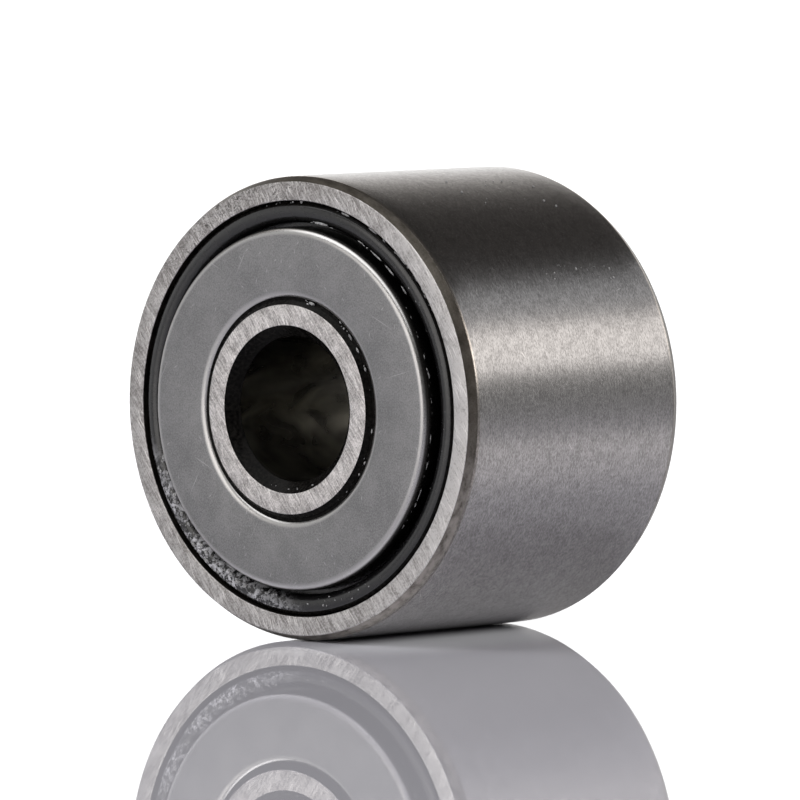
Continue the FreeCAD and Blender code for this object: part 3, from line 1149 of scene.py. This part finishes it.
# %% Cage
NEEDLE_COUNT = 13
CAGE_STEPS = 20 * NEEDLE_COUNT
CAGE_EDGE = 0.12
POCKET_CLEARANCE = 0.03
POCKET_END_CLEARANCE = 0.05
CAGE_HALF_THICKNESS = 0.52
cage_corners = [
    (pitch_radius + side * CAGE_HALF_THICKNESS, y, CAGE_EDGE, 0)
    for side, y in ((-1, -cage_end), (-1, cage_end), (1, cage_end), (1, -cage_end))
]
cage_finishes = ("Moulded", "Pocket")
cage_tree = cut_ring_tree("Turned cage", cage_finishes, ROUND_CUT, round_cutter)
cage_mesh = made_by(cage_tree, section_mesh(cage_corners), "cage_moulded", {
    "Steps": CAGE_STEPS, "Count": NEEDLE_COUNT, "Cut Radius": (needle_radius + POCKET_CLEARANCE) * MM,
    "Cut Length": 2 * (needle_end + POCKET_END_CLEARANCE) * MM, "Cut Place": (pitch_radius * MM, 0, 0),
    "Cut Turn": (math.radians(90), 0, 0), **dict.fromkeys(cage_finishes, CAGE)})
fit_piece(cage_mesh, "cage", "needle_cage")

# %% [markdown]
# ## Needles
#
# A needle is a lapped steel pin with rounded ends. All thirteen are alike, so one tree turns the section,
# moves it out to the pitch circle and turns it to its place. Each needle spins on its own, so the tree is
# read back once for each place, which gives one mesh for each body. The section starts and ends on the
# axis, and merging the doubles there closes both poles.

# %% Needles
NEEDLE_STEPS = 64
NEEDLE_ROUND = 0.2
END_DOME = 0.03
placing = {"Pitch Radius": ("Float", 0.0), "Count": ("Int", 1), "Place": ("Int", 0)}
needle_inputs = {**TURNING_INPUTS, **placing, **materials_in(("Lapped",))}
needle_tree, given = new_tree("Needle in its place", needle_inputs)
pin = turn_section(needle_tree, given)
share = calculate(needle_tree, "DIVIDE", given["Place"], given["Count"])
moves = {
    "Translation": xyz(needle_tree, X=given["Pitch Radius"]),
    "Rotation": xyz(needle_tree, Y=times(needle_tree, share, 2 * math.pi)),
}
for move, amount in moves.items():
    pin = node(needle_tree, "GeometryNodeTransform", {"Geometry": pin, move: amount}).outputs[0]
close_tree(needle_tree, pin, given, ("Lapped",))
needle_corners = [
    (0, needle_end, 0, 0),
    (needle_radius, needle_end - END_DOME, NEEDLE_ROUND, 0),
    (needle_radius, -needle_end + END_DOME, NEEDLE_ROUND, 0),
    (0, -needle_end, 0, 0),
]
needle_section = section_mesh(needle_corners, closed=False)
for place in range(NEEDLE_COUNT):
    name = f"needle_{place + 1:02d}"
    mesh = made_by(needle_tree, needle_section, name + "_lapped", {
        "Steps": NEEDLE_STEPS, "Closing Rows": 0, "Pitch Radius": pitch_radius * MM,
        "Count": NEEDLE_COUNT, "Place": place, "Lapped": NEEDLE})
    fit_piece(mesh, name, name)

# %% [markdown]
# ## Oil and painted shade in the corner
#
# Between the washer's rolled bore and the inner ring's chamfer lies a narrow ditch, which holds oil. Its
# surface is pulled up both sides, so the section of the film is a hollow curve. With the near-black oil
# finish, the film is also a dark sheet laid into the shaded ditch: it paints the fine black line of
# shade around the bright inner ring.

# %% Oil ring and painted shade
OIL_AT_RING = (race_radius - 0.09, inner_end - 0.07)
OIL_AT_WASHER = (race_radius + 0.13, washer_outer_face - 0.083)
OIL_DEEPEST = (race_radius + 0.02, washer_outer_face - 0.12)
OIL_ROOT = (race_radius, washer_outer_face - 0.3)
shade_oil_corners = [
    (*OIL_ROOT, 0, 0),
    (*OIL_AT_RING, 0, 0),
    (*OIL_DEEPEST, 0.03, 0),
    (*OIL_AT_WASHER, 0, 0),
]
# A dark sheet of painted shade in the ditch, over the oil there.
shade_oil_tree = turned_ring_tree("Turned oil film and shade", ("Dark oil and shade",))
for end, is_front in ENDS.items():
    section = section_mesh(at_end(shade_oil_corners, is_front))
    add_extra(made_by(shade_oil_tree, section, f"shade_oil_line_{end}", {"Steps": RING_STEPS, "Dark oil and shade": OIL_AND_SHADE}), "inner_race")

# %% [markdown]
# ## Beads of grease
#
# Small beads of grease and oil sit on the lip's edges, in the gap, at the mouth of the bore and on the
# tread, where they show as light dots and dashes. Their light grey colour is partly the grease's own
# and partly a painted glint. The tree starts from a mesh with one point for each stretch of edge that
# has beads. Each point carries the stretch's angles, radius, level, number and size as attributes. The
# tree duplicates the point, scatters the copies along its arc with fixed seeds, and puts a flattened
# ball on each, drawn out along the edge.

# %% Beads of grease
BEAD_FIELDS = ("start", "end", "radius", "level", "spread", "reach", "size", "stretch", "count")
BEAD_SEEDS = {"angle": 3, "spread": 11, "reach": 17, "size": 23, "stretch": 31}
BEAD_SEED = 5
BEAD_HEIGHT = 0.55
BEAD_RARITY = 3
BEAD_SIZES = (0.4, 1.9)

beads_tree, given = new_tree("Beads along edges", {
    "Segments": ("Int", 8), "Rings": ("Int", 6), "Seed": ("Int", 0), "Bead material": ("Material", None)})


def field(name):
    return node(beads_tree, "GeometryNodeInputNamedAttribute", {"Name": name}, data_type="FLOAT").outputs[0]


def scatter(low, high, seed):
    inputs = {2: low, 3: high, "Seed": calculate(beads_tree, "ADD", given["Seed"], seed)}
    return node(beads_tree, "FunctionNodeRandomValue", inputs, data_type="FLOAT").outputs[1]


copies = node(beads_tree, "GeometryNodeDuplicateElements", {
    "Geometry": given["Geometry"], "Amount": field("count")}, domain="POINT").outputs[0]
angle = scatter(field("start"), field("end"), BEAD_SEEDS["angle"])
off_line = scatter(-1.0, 1.0, BEAD_SEEDS["spread"])
radius = calculate(beads_tree, "MULTIPLY_ADD", off_line, field("spread"), field("radius"))
along_axis = scatter(-1.0, 1.0, BEAD_SEEDS["reach"])
level = calculate(beads_tree, "MULTIPLY_ADD", along_axis, field("reach"), field("level"))
spot = around_axis(beads_tree, radius, level, angle)
placed = node(beads_tree, "GeometryNodeSetPosition", {"Geometry": copies, "Position": spot}).outputs[0]
quarter_on = times(beads_tree, calculate(beads_tree, "ADD", angle, math.pi / 2), -1.0)
along_edge = xyz(beads_tree, Y=quarter_on)
chance = calculate(beads_tree, "POWER", scatter(0.0, 1.0, BEAD_SEEDS["size"]), BEAD_RARITY)
size = times(beads_tree, ramp(beads_tree, chance, 0.0, 1.0, *BEAD_SIZES), field("size"))
length = times(beads_tree, size, scatter(1.0, field("stretch"), BEAD_SEEDS["stretch"]))
shape = xyz(beads_tree, X=length, Y=times(beads_tree, size, BEAD_HEIGHT), Z=size)
ball = node(beads_tree, "GeometryNodeMeshUVSphere", {
    "Radius": 1.0, "Segments": given["Segments"], "Rings": given["Rings"]}).outputs[0]
ball = node(beads_tree, "GeometryNodeSetShadeSmooth", {"Geometry": ball, "Shade Smooth": True}).outputs[0]
beads = node(beads_tree, "GeometryNodeInstanceOnPoints", {
    "Points": placed, "Instance": ball, "Rotation": along_edge, "Scale": shape}).outputs[0]
beads = node(beads_tree, "GeometryNodeRealizeInstances", {"Geometry": beads}).outputs[0]
beads = node(beads_tree, "GeometryNodeSetMaterial", {
    "Geometry": beads, "Material": given["Bead material"]}).outputs[0]
node(beads_tree, "NodeGroupOutput", {"Geometry": beads})


def bead_starts(stretches):
    """One point for each stretch of edge. Angles are degrees from +X towards +Z, and lengths millimetres."""
    mesh = bpy.data.meshes.new("bead_starts")
    mesh.from_pydata([(0, 0, 0)] * len(stretches), [], [])
    scales = {"start": math.radians(1), "end": math.radians(1), "count": 1, "stretch": 1}
    for number, name in enumerate(BEAD_FIELDS):
        values = [stretch[number] * scales.get(name, MM) for stretch in stretches]
        mesh.attributes.new(name, "FLOAT", "POINT").data.foreach_set("value", values)
    return mesh


GAP_DEPTH = 0.06
lip_level, gap_level = -lip_top, -washer_outer_face + GAP_DEPTH
stretches = {
    "outer_race": [
        (38, 84, LIP_INNER + 0.09, lip_level + 0.01, 0.02, 0.01, 0.024, 9.0, 18),
        (28, 80, recess_radius - 0.08, lip_level + 0.09, 0.02, 0.02, 0.022, 8.0, 18),
        (86, 104, recess_radius - 0.07, lip_level + 0.1, 0.02, 0.01, 0.032, 2.0, 7),
        (-30, 60, LIP_INNER + 0.3, lip_level, 0.16, 0.0, 0.014, 6.0, 12),
        (196, 262, LIP_INNER + 0.32, lip_level + 0.01, 0.2, 0.02, 0.05, 2.2, 80),
        (255, 305, LIP_INNER + 0.3, lip_level, 0.2, 0.01, 0.022, 1.8, 26),
        (58, 74, tread_line, 0, 0.002, 3.6, 0.026, 1.5, 34),
        (33, 38, tread_line, 2.2, 0.002, 2.2, 0.022, 2.0, 40),
    ],
    "inner_race": [
        (20, 80, race_radius + 0.02, gap_level, 0.07, 0.02, 0.03, 3.0, 18),
        (-60, 20, race_radius + 0.02, gap_level, 0.05, 0.02, 0.02, 3.0, 8),
        (250, 300, bore_radius + 0.28, -inner_end + 0.15, 0.08, 0.02, 0.024, 1.6, 10),
        (-42, 36, washer_radius, -washer_outer_face + 0.32, 0.008, 0.05, 0.018, 10.0, 30),
    ],
}
for body, rows in stretches.items():
    bead_inputs = {"Seed": BEAD_SEED, "Bead material": GLINT_BEADS}
    add_extra(made_by(beads_tree, bead_starts(rows), f"beads_on_{body}", bead_inputs), body)
